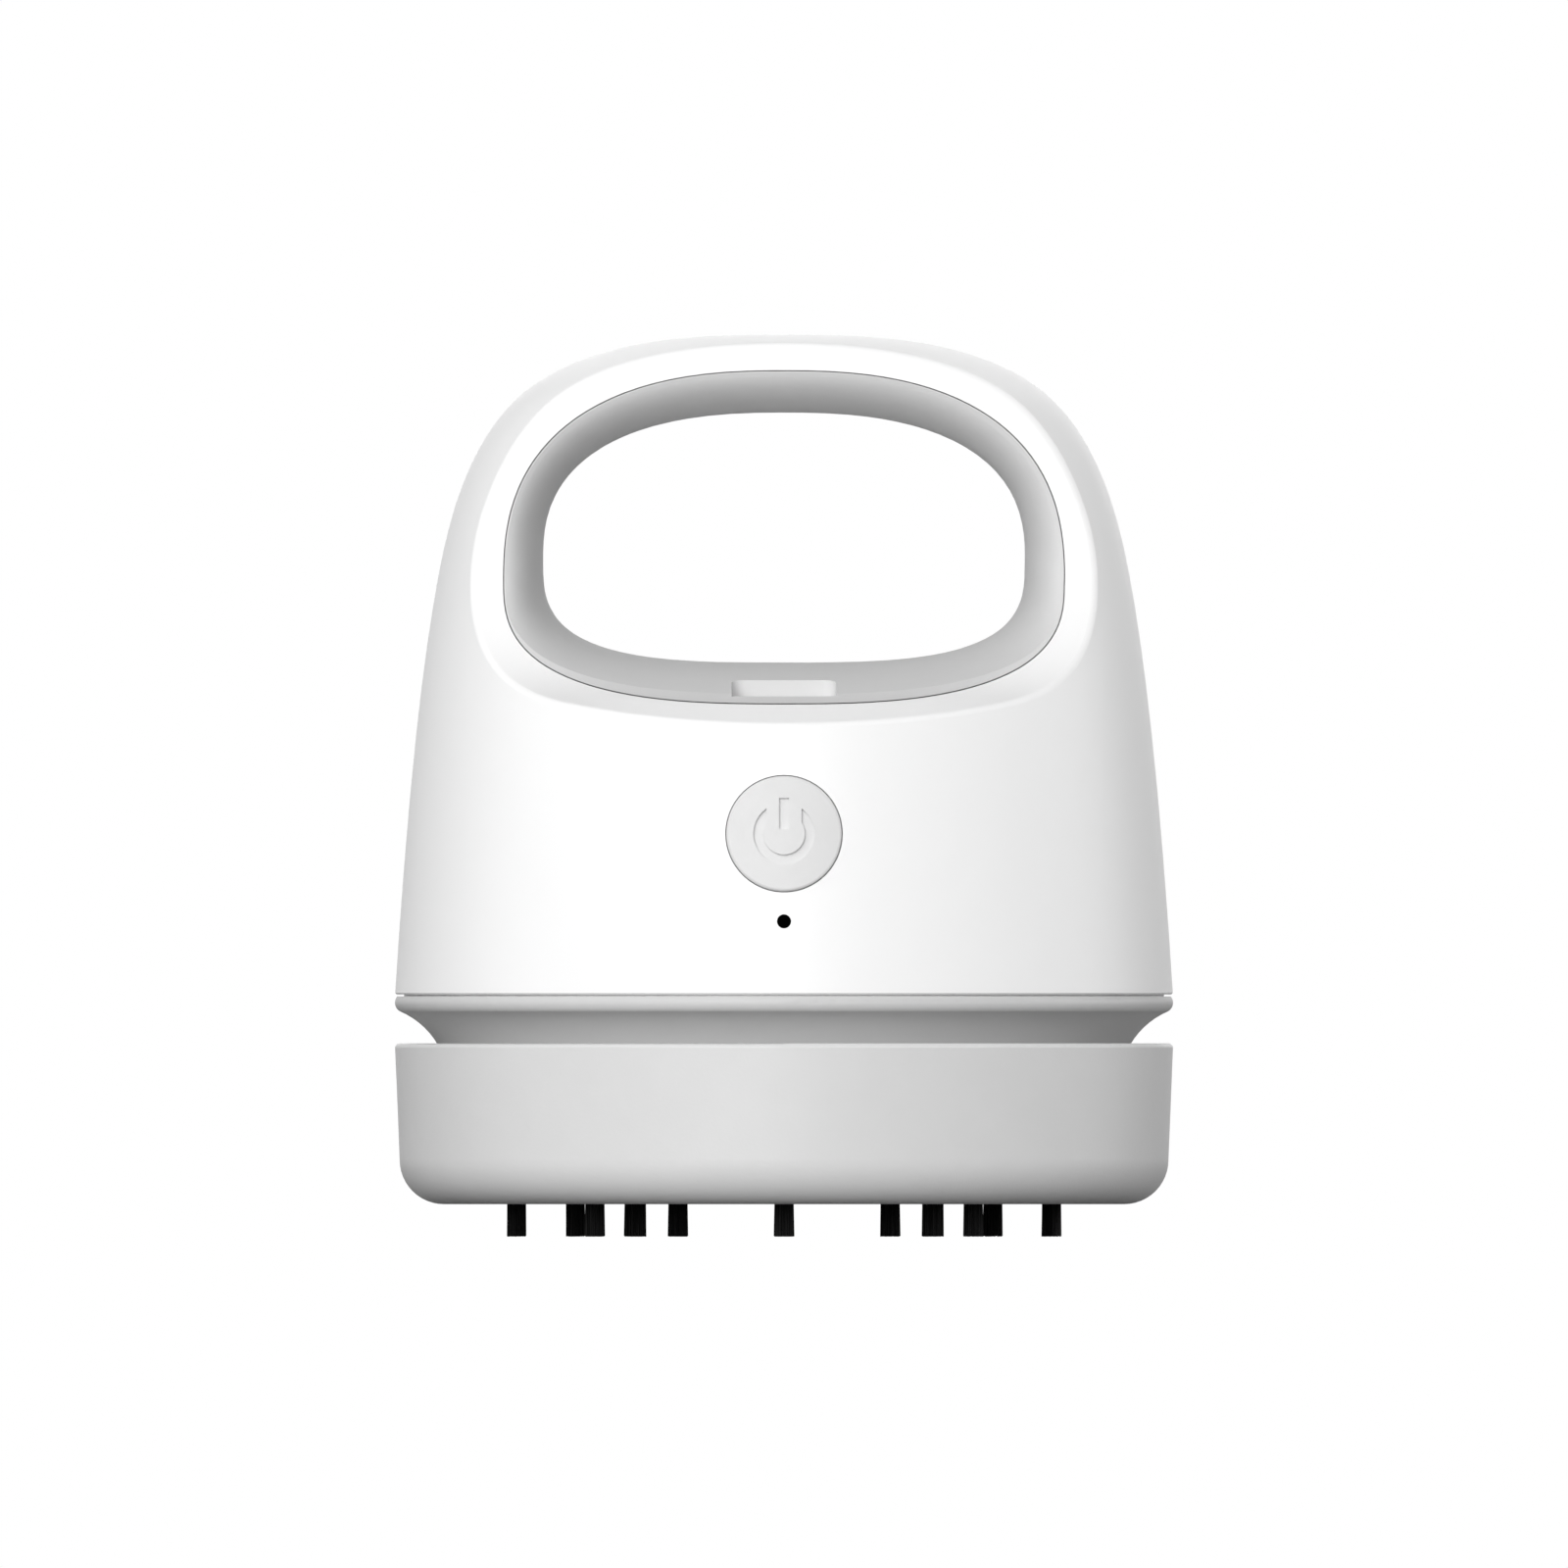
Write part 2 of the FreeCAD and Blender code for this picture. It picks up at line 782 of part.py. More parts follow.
def seal_ring():
    return Part.makeTorus(seal_ring_radius, seal_section_radius, V(0, 0, seal_z))


def fan_shroud():
    return ring(neck_bore - filter_gap, shroud_eye_radius, shroud_bottom_z, shroud_top_z)


def filter_frame():
    """The filter's open frame: an outer ring over a wheel of bars."""
    outer = neck_bore - filter_gap
    inner = outer - filter_frame_wall
    top = shroud_bottom_z - rest_gap
    grid_top = filter_frame_bottom_z + filter_grid
    frame = ring(outer, inner, filter_frame_bottom_z, top)
    half = filter_bar_width / 2
    bar = block(0, inner + filter_frame_wall / 2, -half, half, filter_frame_bottom_z, grid_top)
    hub = cylinder(filter_hub_radius, filter_frame_bottom_z, grid_top)
    hoop_middle = (filter_hub_radius + inner) / 2
    hoop = ring(hoop_middle + half, hoop_middle - half, filter_frame_bottom_z, grid_top)
    return joined(frame, [hub, hoop] + around(bar, filter_bars))


def filter_media():
    """One sheet of paper folded to and fro."""
    radius = neck_bore - filter_gap - filter_frame_wall - filter_gap
    low = filter_frame_bottom_z + filter_grid
    high = shroud_bottom_z - filter_top_room - filter_paper
    step = 2 * radius / filter_pleats
    folds = [V(-radius + step * i, 0, high if i % 2 else low) for i in range(filter_pleats + 1)]
    upper = [p + V(0, 0, filter_paper) for p in reversed(folds)]
    corners = folds + upper
    outline = Part.Wire([line(a, b) for a, b in zip(corners, corners[1:] + corners[:1])])
    sheet = Part.Face(outline).extrude(V(0, 2 * radius, 0))
    sheet.translate(V(0, -radius, 0))
    return sheet.common(cylinder(radius, low - 1, high + 2))


def impeller():
    """Disc, hub and swept blades, with the blades below the disc."""
    disc_top = blade_top_z + fan_disc
    body = cylinder(fan_radius, blade_top_z, disc_top)
    body = body.fuse(cylinder(fan_hub_radius, blade_bottom_z, disc_top))
    middle_radius = (fan_eye_radius + fan_radius) / 2
    tip_radius = fan_radius - blade_thickness / 2
    stations = ((fan_hub_radius - 1, 0), (middle_radius, -blade_sweep * 0.4), (tip_radius, -blade_sweep))
    near = [polar(r, a, blade_bottom_z) for r, a in stations]
    away = [polar(r, a + math.degrees(blade_thickness / r), blade_bottom_z) for r, a in stations]
    edges = [arc(*near), line(near[2], away[2]), arc(*reversed(away)), line(away[0], near[0])]
    blade = Part.Face(Part.Wire(edges)).extrude(V(0, 0, blade_height + fan_disc / 2))
    body = body.fuse(around(blade, blade_count)).removeSplitter()
    return body.cut(cylinder(shaft_radius, 0, far))


def motor_gasket():
    gasket = ring(motor_radius, motor_nose_radius + motor_nose_gap, deck_top_z, can_bottom_z)
    for x, y in motor_screw_places():
        gasket = gasket.cut(cylinder(small_screw[0] + screw_hole_gap, 0, far, x, y))
    return gasket


def motor_can():
    inner = motor_radius - motor_wall
    nose_bottom = can_bottom_z - motor_nose_height
    can = cylinder(motor_radius, can_bottom_z, can_top_z).cut(cylinder(inner, can_bottom_z + motor_face, far))
    can = can.fuse(cylinder(motor_nose_radius, nose_bottom, can_bottom_z + 1)).removeSplitter()
    can = can.cut(cylinder(bush_radius, 0, far))
    for x, y in motor_screw_places():
        can = can.cut(cylinder(small_screw[0] + screw_hole_gap, 0, far, x, y))
    return can


def motor_end_cap():
    inner = motor_radius - motor_wall
    top = can_top_z + end_cap_thickness
    cap = cylinder(inner - screw_hole_gap, can_top_z - end_cap_plug, can_top_z)
    cap = cap.fuse(cylinder(motor_radius, can_top_z, top)).removeSplitter()
    return cap.cut(cylinder(bush_radius, 0, far))


def lower_bush_z():
    return can_bottom_z - motor_nose_height


def upper_bush_z():
    return can_top_z + end_cap_thickness - bush_length


def motor_bushes():
    bore = shaft_radius + shaft_gap
    places = (lower_bush_z(), upper_bush_z())
    return Part.makeCompound([ring(bush_radius, bore, z, z + bush_length) for z in places])


def magnets_bottom_z():
    return can_bottom_z + magnet_bottom_offset


def magnet_inner_radius():
    return motor_radius - motor_wall - magnet_thickness


def motor_magnets():
    outer = motor_radius - motor_wall - magnet_gap
    z0 = magnets_bottom_z()
    tube = ring(outer, magnet_inner_radius(), z0, z0 + magnet_length)
    half = magnet_split / 2
    return tube.cut(block(-half, half, -far, far, z0 - 1, z0 + magnet_length + 1))


def core_bottom_z():
    return magnets_bottom_z() + (magnet_length - core_length) / 2


def core_slot_tools():
    z0 = core_bottom_z()
    z1 = z0 + core_length
    half = core_slot_width / 2
    slot = block(coil_circle, far, -half, half, z0, z1).fuse(cylinder(coil_radius, z0, z1, coil_circle))
    return around(slot, core_slots)


def armature_core():
    z0 = core_bottom_z()
    core = cylinder(magnet_inner_radius() - air_gap, z0, z0 + core_length)
    return core.cut(core_slot_tools()).cut(cylinder(shaft_radius, 0, far))


def armature_windings():
    z0 = core_bottom_z()
    z1 = z0 + core_length
    bars = around(cylinder(coil_radius - coil_gap, z0, z1, coil_circle), core_slots)
    outer = coil_circle + coil_radius
    inner = coil_circle - coil_radius
    ends = [ring(outer, inner, z0 - coil_overhang, z0), ring(outer, inner, z1, z1 + coil_overhang)]
    return joined(ends[0], bars + ends[1:])


def commutator_z():
    return can_top_z - end_cap_plug - commutator_length - air_gap / 2


def commutator():
    z0 = commutator_z()
    return ring(commutator_radius, shaft_radius, z0, z0 + commutator_length)


def motor_brushes():
    """Two carbon blocks that hang from the end cap and bear on the commutator."""
    x0 = commutator_radius + carbon_gap
    half = carbon_width / 2
    block_shape = block(x0, x0 + carbon_length, -half, half, commutator_z(), can_top_z - end_cap_plug)
    return Part.makeCompound(around(block_shape, 2))


def motor_shaft():
    return cylinder(shaft_radius, blade_bottom_z, can_top_z + end_cap_thickness + air_gap)


def screws_up(size, places, z):
    return Part.makeCompound([moved(screw(size), x, y, z) for x, y in places])


def cradle_screws():
    return screws_up(small_screw, cradle_screw_places(), small_screw_seat_z())


def motor_screws():
    return screws_up(small_screw, motor_screw_places(), small_screw_seat_z())


def deck_to_housing_screws():
    return screws_up(base_screw, [(p.x, p.y) for p in base_screw_places()], base_screw_seat_z())


def power_button():
    """Cap that follows the housing, a flange behind the wall and a stem to the switch."""
    flange_radius = button_radius + button_flange_extra
    flange_y = button_flange_y()
    cap = cylinder_y(button_radius, -far, flange_y + button_flange, 0, button_z)
    cap = cap.common(dome(-button_proud, seam_z))
    cap = cap.makeFillet(button_edge_round, [edge for edge in cap.Edges if edge.BoundBox.YMax < flange_y])
    flange = cylinder_y(flange_radius, flange_y, flange_y + button_flange, 0, button_z)
    stem = cylinder_y(button_stem_radius, flange_y, stem_end_y(), 0, button_z)
    return joined(cap, [flange, stem]).cut(power_mark())


def button_flange_y():
    """Front face of the flange, clear of the curved wall in front of it."""
    edge = button_radius + button_flange_extra
    inner = dome_radius(button_z + edge, wall)
    return -math.sqrt(inner ** 2 - edge ** 2) + flange_room


def power_mark():
    """A plain standby sign, open ring and bar, sunk in the cap's face."""
    sign = cylinder_y(mark_radius, -far, 0, 0, button_z)
    sign = sign.cut(cylinder_y(mark_radius - mark_width, -far, 0, 0, button_z))
    half_open = mark_radius * math.sin(math.radians(mark_opening / 2))
    sign = sign.cut(block(-half_open, half_open, -far, 0, button_z, button_z + mark_radius))
    half = mark_width / 2
    bar = block(-half, half, -far, 0, button_z + mark_width / 2, button_z + mark_radius + mark_width / 2)
    return sign.fuse(bar).cut(dome(mark_depth - button_proud, seam_z))


def stem_end_y():
    return button_flange_y() + button_flange + button_stem_length


def plunger_tip_y():
    return stem_end_y() + touch_gap


def switch_front_y():
    return plunger_tip_y() + plunger_reach


def board_front_y():
    return switch_front_y() + switch_depth


def switch_body():
    half = switch_side / 2
    front = switch_front_y()
    body = block(-half, half, front, board_front_y(), button_z - half, button_z + half)
    bore_end = front + plunger_seat + button_travel + touch_gap
    return body.cut(cylinder_y(plunger_radius + plunger_gap, front - 1, bore_end, 0, button_z))


def switch_plunger():
    return cylinder_y(plunger_radius, plunger_tip_y(), switch_front_y() + plunger_seat, 0, button_z)


def light_pipe():
    pipe = cylinder_y(light_radius, -far, board_front_y() - led_height, 0, light_z)
    return pipe.common(dome(light_gap, seam_z))


def status_led():
    half = led_side / 2
    rear = board_front_y()
    return block(-half, half, rear - led_height, rear, light_z - half, light_z + half)


def control_board():
    half = board_half_width
    front = board_front_y()
    board = block(-half, half, front, front + board_thickness, board_bottom_z, board_top_z)
    return board.cut(board_screws_shape(screw_hole))


def control_board_screws():
    return Part.makeCompound(board_screws_shape(screw))


def battery_cell():
    half = cell_length / 2
    body = Part.makeCylinder(cell_radius, cell_length, V(-half, cell_y, cell_z), V(1, 0, 0))
    cap = Part.makeCylinder(cell_cap_radius, cell_cap_height + 1, V(half - 1, cell_y, cell_z), V(1, 0, 0))
    return body.fuse(cap).removeSplitter()


def battery_cradle():
    """A tray on the deck with two arms that hold the cell and two posts for the charging board."""
    half = cradle_half_width
    tray_top = deck_top_z + cradle_plate
    y0, y1 = cradle_front_y, cradle_rear_y
    tray = block(-half, half, y0, y1, deck_top_z, tray_top)
    sides = (-half, half - cradle_plate)
    arms = [block(x, x + cradle_plate, y0, y1, deck_top_z, cradle_arm_top_z) for x in sides]
    posts = [cylinder(charge_post_radius, deck_top_z, charge_board_z, x, charge_post_y)
             for x in (-charge_post_x, charge_post_x)]
    shape = joined(tray, arms + posts)
    room = Part.makeCylinder(cell_radius + cell_gap, 2 * far, V(-far, cell_y, cell_z), V(1, 0, 0))
    shape = shape.cut(room)
    for x, y in cradle_screw_places():
        shape = shape.cut(moved(screw_hole(small_screw), x, y, small_screw_seat_z()))
    return shape.cut(charge_screws_shape(screw_hole))


def charge_screws_shape(make):
    """The charging board's screws or their holes, pointing down."""
    shapes = []
    for x in (-charge_post_x, charge_post_x):
        piece = make(small_screw)
        piece.rotate(ORIGIN, V(1, 0, 0), 180)
        shapes.append(moved(piece, x, charge_post_y, charge_board_z + board_thickness))
    return shapes


def charging_board():
    half = charge_board_half_width
    z1 = charge_board_z + board_thickness
    board = block(-half, half, charge_board_front_y, charge_board_rear_y, charge_board_z, z1)
    return board.cut(charge_screws_shape(screw_hole))


def charging_board_screws():
    return Part.makeCompound(charge_screws_shape(screw))


def port_centre_z():
    return charge_board_z + board_thickness + port_height / 2


def port_outline(grow, y0, y1):
    """A round-ended bar along Y with the outline of the charging port."""
    half = port_height / 2 + grow
    z = port_centre_z()
    reach = (port_width - port_height) / 2
    middle = block(-reach, reach, y0, y1, z - half, z + half)
    ends = [cylinder_y(half, y0, y1, x, z) for x in (-reach, reach)]
    return joined(middle, ends)


def charging_port():
    y1 = dome_radius(port_centre_z()) - port_recess
    y0 = y1 - port_depth
    shell = port_outline(0, y0, y1).cut(port_outline(-port_shell, y0 + port_shell, y1 + 1))
    z = port_centre_z()
    half = port_tongue / 2
    reach = port_width / 2 - port_height / 2
    tongue = block(-reach, reach, y0 + port_shell / 2, y1 - port_shell, z - half, z + half)
    return shell.fuse(tongue).removeSplitter()


def lead(points):
    """A round wire through the points, with an arc at each inner one."""
    edges = []
    start = points[0]
    for before, corner, after in zip(points, points[1:], points[2:]):
        back = (before - corner).normalize()
        ahead = (after - corner).normalize()
        half_angle = back.getAngle(ahead) / 2
        trim = lead_bend / math.tan(half_angle)
        first = corner + back * trim
        last = corner + ahead * trim
        inward = (back + ahead).normalize()
        centre = corner + inward * (lead_bend / math.sin(half_angle))
        edges.append(line(start, first))
        edges.append(arc(first, centre - inward * lead_bend, last))
        start = last
    edges.append(line(start, points[-1]))
    direction = points[1] - points[0]
    section = Part.Wire(Part.makeCircle(lead_radius, points[0], direction))
    return Part.Wire(edges).makePipeShell([section], True, False)


def both_sides(points):
    mirrored = [V(-p.x, p.y, p.z) for p in points]
    return Part.makeCompound([lead(points), lead(mirrored)])


def motor_leads():
    """From the motor's end cap forward to the rear face of the control board."""
    x = motor_radius / 2
    start_z = can_top_z + end_cap_thickness
    board_y = board_front_y() + board_thickness
    over_z = start_z + 2 * lead_bend
    return both_sides([
        V(x, 0, start_z),
        V(x, 0, over_z),
        V(x, board_y + 4 * lead_bend, over_z),
        V(x, board_y + 2 * lead_bend, over_z - 2 * lead_bend),
        V(x, board_y, over_z - 2 * lead_bend),
    ])


def lead_side_x():
    return cell_length / 2 + 2.2 * lead_bend


def battery_leads():
    """From the ends of the cell round the motor to the control board."""
    board_y = board_front_y() + board_thickness
    board_x = board_half_width - 2 * lead_radius
    y = cell_y - cell_radius / 2
    return both_sides([
        V(cell_length / 2, y, cell_z),
        V(lead_side_x(), y, cell_z),
        V(lead_side_x(), -motor_radius, cell_z),
        V(board_x, board_y + 4 * lead_bend, cell_z),
        V(board_x, board_y, cell_z),
    ])


def charging_leads():
    """From the charging board up to the ends of the cell."""
    x = charge_board_half_width - 2 * lead_radius
    y = cradle_rear_y + 2 * lead_radius
    z = charge_board_z + board_thickness
    end_y = cell_y + cell_radius / 2
    return both_sides([
        V(x, y, z),
        V(x, y, z + 2.5 * lead_bend),
        V(lead_side_x() - 1.5 * lead_bend, y, z + 3 * lead_bend),
        V(lead_side_x(), end_y, cell_z - 2.2 * lead_bend),
        V(lead_side_x(), end_y, cell_z),
        V(cell_length / 2, end_y, cell_z),
    ])


def dust_cup():
    """The bowl: outer wall, floor with a hole for the inlet tube, and ribs under the neck and the collar."""
    outer = body_radius
    foot = outer - cup_taper
    inner = foot - cup_wall
    rim_inner = outer - cup_wall
    knee = cup_round * math.sqrt(0.5)
    floor_r = plate_radius + plate_gap
    inner_knee = cup_inner_round * math.sqrt(0.5)
    in_r = inner - cup_inner_round
    in_z = cup_floor_top_z + cup_inner_round
    out_r = foot - cup_round
    out_z = cup_bottom_z + cup_round
    hole_r = tube_outer_radius + inlet_fit_gap
    runs = [
        [(out_r, cup_bottom_z), (floor_r, cup_bottom_z), (floor_r, cup_floor_z),
         (hole_r, cup_floor_z), (hole_r, cup_floor_top_z), (in_r, cup_floor_top_z)],
        [(inner, in_z), (inner, shelf_bottom_z), (rim_inner, shelf_bottom_z),
         (rim_inner, cup_top_z - cup_rim_round), (rim_inner + cup_rim_round, cup_top_z),
         (outer - cup_rim_round, cup_top_z)],
        [(outer, cup_top_z - cup_rim_round), (foot, out_z)],
    ]
    corner = cup_rim_round * (1 - math.sqrt(0.5))
    middles = [
        (in_r + inner_knee, in_z - inner_knee),
        (outer - corner, cup_top_z - corner),
        (out_r + knee, out_z - knee),
    ]
    edges = []
    for i, run in enumerate(runs):
        points = [V(r, 0, z) for r, z in run]
        edges += [line(a, b) for a, b in zip(points, points[1:])]
        r, z = middles[i]
        after = runs[(i + 1) % len(runs)][0]
        edges.append(arc(points[-1], V(r, 0, z), V(after[0], 0, after[1])))
    return cut_plate_screws(joined(spun(edges), around(rest_rib(), rest_ribs)))


def rest_rib():
    """A rib on the bowl's floor: its inner part holds up the neck, its outer part the collar."""
    half = rest_rib_thickness / 2
    outer = collar_radius + collar_thickness
    low = cup_floor_top_z - cup_floor / 2
    rib = block(outer - rest_rib_length, outer, -half, half, low, neck_bottom_z - rest_gap)
    return rib.cut(ring(far, neck_radius, collar_bottom_z - rest_gap, far))


def inlet_tube():
    """The tube that dust comes in through, with a flange and four lugs that lie on the bowl's floor."""
    tube = ring(tube_outer_radius, inlet_radius, cup_bottom_z, inlet_top_z)
    flange = ring(tube_outer_radius + inlet_flange_width, inlet_radius, inlet_seat_z,
                  inlet_seat_z + inlet_flange_thickness)
    lug_top = inlet_seat_z + inlet_lug_height
    half = small_screw[2]
    middle_r = (inlet_radius + tube_outer_radius) / 2
    lug = block(middle_r, plate_screw_circle, -half, half, inlet_seat_z, lug_top)
    lug = lug.fuse(cylinder(half, inlet_seat_z, lug_top, plate_screw_circle))
    return cut_plate_screws(joined(tube, [flange] + around(lug, plate_screws, plate_screw_turn)))


def cut_plate_screws(shape):
    for place in plate_screw_points():
        hole = screw_hole(small_screw, small_screw[1] - 1)
        shape = shape.cut(moved(hole, place.x, place.y, plate_screw_seat_z()))
    return shape


def cup_collar():
    """The ring that slides over the neck and its seal, with the shelf that fixes it in the bowl."""
    outer = collar_radius + collar_thickness
    shelf_z = shelf_bottom_z + shelf_gap
    shelf_outer = body_radius - cup_wall - shelf_gap
    tube = ring(outer, collar_radius, collar_bottom_z, shelf_z + shelf_thickness)
    return joined(tube, [ring(shelf_outer, collar_radius, shelf_z, shelf_z + shelf_thickness)])


def plate_screw_points():
    turns = [plate_screw_turn + 360.0 * i / plate_screws for i in range(plate_screws)]
    return [polar(plate_screw_circle, turn) for turn in turns]


def plate_screw_seat_z():
    return cup_bottom_z + small_screw[3]


def brush_plate_screws():
    return screws_up(small_screw, [(p.x, p.y) for p in plate_screw_points()], plate_screw_seat_z())


def tuft_row():
    """The tufts of one row, along +X."""
    places = [tuft_first_radius + tuft_pitch * i for i in range(tufts_per_row)]
    return [(x, cup_bottom_z + tuft_seat) for x in places]


def bristle_row(angle):
    tufts = [turned(cylinder(tuft_radius, 0, top, x), angle) for x, top in tuft_row()]
    return Part.makeCompound(tufts)


def brush_plate():
    plate = ring(plate_radius, tube_outer_radius + plate_gap, cup_bottom_z, cup_bottom_z + plate_thickness)
    for x, top in tuft_row():
        holes = around(cylinder(tuft_radius + tuft_gap, 0, top + tuft_gap, x), tuft_rows)
        plate = plate.cut(holes)
    for place in plate_screw_points():
        hole = screw_hole(small_screw).fuse(head_hole(small_screw, 0))
        plate = plate.cut(moved(hole, place.x, place.y, plate_screw_seat_z()))
    return plate


def all_nodes():
    front_shell, rear_shell = housing_halves()
    nodes = {
        "front_housing": front_housing(front_shell),
        "rear_housing": rear_housing(rear_shell),
        "grip_liner": grip_liner(),
        "base_ring": base_ring(),
        "base_screws": deck_to_housing_screws(),
        "seal_ring": seal_ring(),
        "fan_shroud": fan_shroud(),
        "filter_frame": filter_frame(),
        "filter_media": filter_media(),
        "impeller": impeller(),
        "motor_gasket": motor_gasket(),
        "motor_can": motor_can(),
        "motor_end_cap": motor_end_cap(),
        "motor_bushes": motor_bushes(),
        "motor_magnets": motor_magnets(),
        "motor_brushes": motor_brushes(),
        "motor_screws": motor_screws(),
        "motor_shaft": motor_shaft(),
        "armature_core": armature_core(),
        "armature_windings": armature_windings(),
        "commutator": commutator(),
        "power_button": power_button(),
        "switch_body": switch_body(),
        "switch_plunger": switch_plunger(),
        "light_pipe": light_pipe(),
        "status_led": status_led(),
        "control_board": control_board(),
        "control_board_screws": control_board_screws(),
        "battery_cell": battery_cell(),
        "battery_cradle": battery_cradle(),
        "cradle_screws": cradle_screws(),
        "charging_board": charging_board(),
        "charging_board_screws": charging_board_screws(),
        "charging_port": charging_port(),
        "motor_leads": motor_leads(),
        "battery_leads": battery_leads(),
        "charging_leads": charging_leads(),
        "dust_cup": dust_cup(),
        "cup_collar": cup_collar(),
        "inlet_tube": inlet_tube(),
        "brush_plate": brush_plate(),
        "brush_plate_screws": brush_plate_screws(),
    }
    for i in range(tuft_rows):
        nodes[f"bristle_row_{i + 1}"] = bristle_row(360.0 * i / tuft_rows)
    return nodes


def main():
    os.makedirs("parts", exist_ok=True)
    for name, shape in all_nodes().items():
        shape.exportStep(f"parts/{name}.step")
        solids = shape.Solids
        print(name, len(solids), round(sum(s.Volume for s in solids), 2), shape.isValid())


main()
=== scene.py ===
import math
import random

import bmesh
import bpy
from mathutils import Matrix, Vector


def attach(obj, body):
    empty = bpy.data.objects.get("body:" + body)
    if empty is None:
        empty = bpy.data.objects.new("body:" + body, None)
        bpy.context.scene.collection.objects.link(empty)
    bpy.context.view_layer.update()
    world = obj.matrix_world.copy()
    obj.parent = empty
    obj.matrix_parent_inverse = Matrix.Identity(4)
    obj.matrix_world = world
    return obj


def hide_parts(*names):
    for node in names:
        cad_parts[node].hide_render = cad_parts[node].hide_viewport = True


# Looks for the desk vacuum cleaner. Lengths are in metres, the front faces -Y and Z is up.

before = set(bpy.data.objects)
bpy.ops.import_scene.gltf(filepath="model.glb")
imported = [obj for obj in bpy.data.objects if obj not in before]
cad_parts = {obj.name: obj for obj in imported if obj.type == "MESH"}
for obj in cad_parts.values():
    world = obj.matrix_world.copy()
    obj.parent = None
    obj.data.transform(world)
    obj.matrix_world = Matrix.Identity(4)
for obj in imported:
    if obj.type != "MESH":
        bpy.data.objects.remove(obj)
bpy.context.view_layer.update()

# Camera: straight on from the front, with the same scale all over the picture
PICTURE_PIXELS = 1600
METRES_PER_PIXEL = 0.00010845
AIM_HEIGHT = 0.0501
CAMERA_DISTANCE = 1.2

# Light
WORLD_STRENGTH = 0.25
WHITE = (1.0, 1.0, 1.0, 1.0)
BACKGROUND_STRENGTH = 1.0
FLOOR_SEEN = 0.9
FLOOR_BOUNCE = 0.2
FLOOR_RADIUS = 1.6
FLOOR_CORNERS = 96
FLOOR_ROUGHNESS = 0.8
# Each lamp: name, place, width, height, watts, all aimed at the middle of the object
LAMPS = (
    ("key", (-0.19, -1.2, 0.25), 0.7, 0.7, 13.2),
    ("upper_left", (-0.62, -0.95, 0.62), 0.4, 0.4, 1.2),
    ("top", (-0.1, -0.15, 1.1), 0.8, 0.8, 1.0),
    ("left", (-1.15, -0.1, 0.25), 0.6, 0.6, 2.1),
    ("right", (1.12, 0.25, 0.2), 0.6, 0.6, 4.2),
    ("back", (0.1, 1.15, 0.5), 0.8, 0.8, 2.0),
)
LAMP_TARGET = (0.0, 0.0, 0.05)

# Surface detail: scales are per metre and depths are in metres
NOISE_LOW = 0.3
NOISE_HIGH = 0.7
WAVE_SCALE = 60.0
WAVE_DEPTH = 0.00002
MOTTLE_SCALE = 240.0
GLOSS_SCALE = 900.0
GLOSS_CHANGE = 0.04
METAL_MARK_SCALE = 3000.0
METAL_MARK_DEPTH = 0.000004
METAL_STAIN_SCALE = 300.0
WIRE_SCALE = 1100.0
WIRE_DEPTH = 0.00012
WIRE_SHADE_SCALE = 1500.0
FIBRE_SCALE = 2200.0
FIBRE_STRETCH = (1.0, 0.25, 1.0)
FIBRE_DEPTH = 0.00005
FIBRE_CLUMP_SCALE = 400.0
TRACK_SCALE = 420.0
TRACK_WIDTH = 0.05
TRACK_DEPTH = 0.00003
WEAVE_SCALE = 900.0
WEAVE_DEPTH = 0.000008
BOARD_GLOSS_SCALE = 700.0
FILAMENT_SHADE_SCALE = 4000.0
FILAMENT_SHADE_STRETCH = (1.0, 1.0, 0.04)

# Bristles, in rows that point outwards. The filaments stand a hair wider than the plain tufts
TUFT_ROWS = 8
TUFTS_PER_ROW = 3
TUFT_FIRST_RADIUS = 0.0166
TUFT_PITCH = 0.0065
TUFT_RADIUS = 0.0011
TUFT_TOP = 0.0049
FILAMENT_RADIUS = 0.00007
FILAMENTS_PER_TUFT = 120
FILAMENT_SIDES = 5
FILAMENT_TAPER = 0.9
FILAMENT_TIP_SPREAD = 0.04
FILAMENT_LENGTH_CHANGE = 0.00012


def add(tree, kind, settings=None, **inputs):
    """Adds a shader node and sets its sockets to values or links them to other sockets."""
    node = tree.nodes.new("ShaderNode" + kind)
    for key, value in (settings or {}).items():
        setattr(node, key, value)
    for key, value in inputs.items():
        connect(tree, node.inputs[key.replace("_", " ")], value)
    return node


def connect(tree, socket, value):
    """Links another node's socket, or sets a plain value."""
    if isinstance(value, bpy.types.NodeSocket):
        tree.links.new(value, socket)
    else:
        socket.default_value = value


def grey(value):
    return (value, value, value, 1.0)


def shaded(colour, factor):
    return tuple(min(1.0, channel * factor) for channel in colour[:3]) + (1.0,)


def noise(tree, scale, detail=2.0, stretch=(1.0, 1.0, 1.0)):
    """Noise fixed to the piece, scale per metre, drawn out along an axis by a stretch below 1."""
    place = add(tree, "TexCoord").outputs["Object"]
    mapping = add(tree, "Mapping", Vector=place, Scale=stretch)
    texture = add(tree, "TexNoise", Vector=mapping.outputs["Vector"], Scale=scale, Detail=detail)
    return texture.outputs["Fac"]


def between(tree, factor, low, high):
    """A number that follows noise from low to high."""
    limits = {"From_Min": NOISE_LOW, "From_Max": NOISE_HIGH, "To_Min": low, "To_Max": high}
    return add(tree, "MapRange", Value=factor, **limits).outputs["Result"]


